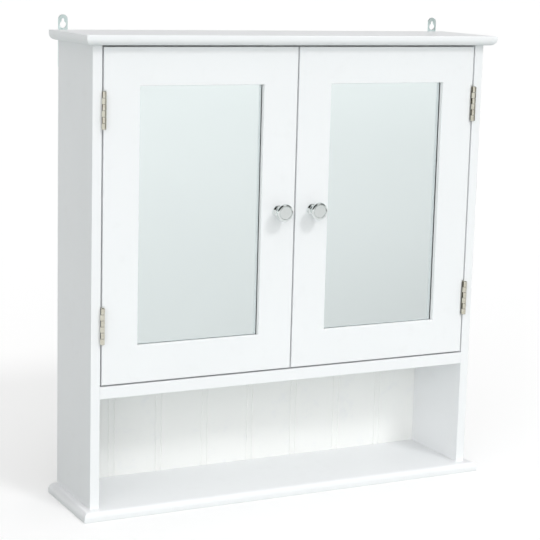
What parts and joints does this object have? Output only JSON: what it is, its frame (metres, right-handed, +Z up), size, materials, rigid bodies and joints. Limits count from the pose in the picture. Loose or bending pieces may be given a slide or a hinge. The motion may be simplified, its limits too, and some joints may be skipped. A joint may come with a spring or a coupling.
{
  "type": "mirror cabinet",
  "caption": "White wall cabinet with mirrored doors on butt hinges over an open shelf with a beaded back, hung on keyhole plates",
  "frame": {"origin": "the middle of the underside of the bottom board", "axes": "+Z up, the doors and knobs face -Y, +X to the right as seen from the front"},
  "size_m": [0.56, 0.139, 0.598],
  "materials": {
    "painted_board": "satin",
    "painted_beadboard": "satin",
    "mirror_glass": "mirror",
    "hardboard": "matt",
    "beech": "matt",
    "hinge_nickel": "satin",
    "knob_chrome": "polished",
    "zinc_plate": "satin",
    "screw_zinc": "satin",
    "catch_plastic": "satin",
    "magnet_ferrite": "matt"
  },
  "bodies": {
    "cabinet": {"top_board": "painted_board", "bottom_board": "painted_board", "left_side": "painted_board", "right_side": "painted_board", "fixed_shelf": "painted_board", "inner_shelf": "painted_board", "back_panel": "painted_beadboard", "panel_nails": "screw_zinc", "shelf_pegs": "screw_zinc", "dowels": "beech", "cam_bolts": "hinge_nickel", "cam_locks": "screw_zinc", "base_screws": "screw_zinc", "left_hanger": "zinc_plate", "right_hanger": "zinc_plate", "hanger_screws": "screw_zinc", "upper_left_frame_leaf": "hinge_nickel", "lower_left_frame_leaf": "hinge_nickel", "upper_right_frame_leaf": "hinge_nickel", "lower_right_frame_leaf": "hinge_nickel", "upper_left_hinge_pin": "hinge_nickel", "lower_left_hinge_pin": "hinge_nickel", "upper_right_hinge_pin": "hinge_nickel", "lower_right_hinge_pin": "hinge_nickel", "frame_leaf_screws": "hinge_nickel", "left_catch_case": "catch_plastic", "right_catch_case": "catch_plastic", "catch_magnets": "magnet_ferrite", "catch_pole_plates": "zinc_plate", "catch_screws": "screw_zinc"},
    "left_door": {"left_door_frame": "painted_board", "left_mirror": "mirror_glass", "left_mirror_backing": "hardboard", "left_backing_screws": "screw_zinc", "left_knob": "knob_chrome", "left_knob_screw": "screw_zinc", "upper_left_door_leaf": "hinge_nickel", "lower_left_door_leaf": "hinge_nickel", "left_door_leaf_screws": "hinge_nickel", "left_strike_plate": "zinc_plate", "left_strike_screw": "screw_zinc"},
    "right_door": {"right_door_frame": "painted_board", "right_mirror": "mirror_glass", "right_mirror_backing": "hardboard", "right_backing_screws": "screw_zinc", "right_knob": "knob_chrome", "right_knob_screw": "screw_zinc", "upper_right_door_leaf": "hinge_nickel", "lower_right_door_leaf": "hinge_nickel", "right_door_leaf_screws": "hinge_nickel", "right_strike_plate": "zinc_plate", "right_strike_screw": "screw_zinc"}
  },
  "joints": [
    {"name": "left_door_hinge", "type": "hinge", "parent": "cabinet", "child": "left_door", "pos_m": [-0.2547, -0.0539, 0.36525], "axis": [0, 0, -1], "range_deg": [0, 180]},
    {"name": "right_door_hinge", "type": "hinge", "parent": "cabinet", "child": "right_door", "pos_m": [0.2547, -0.0539, 0.36525], "axis": [0, 0, 1], "range_deg": [0, 180]}
  ]
}
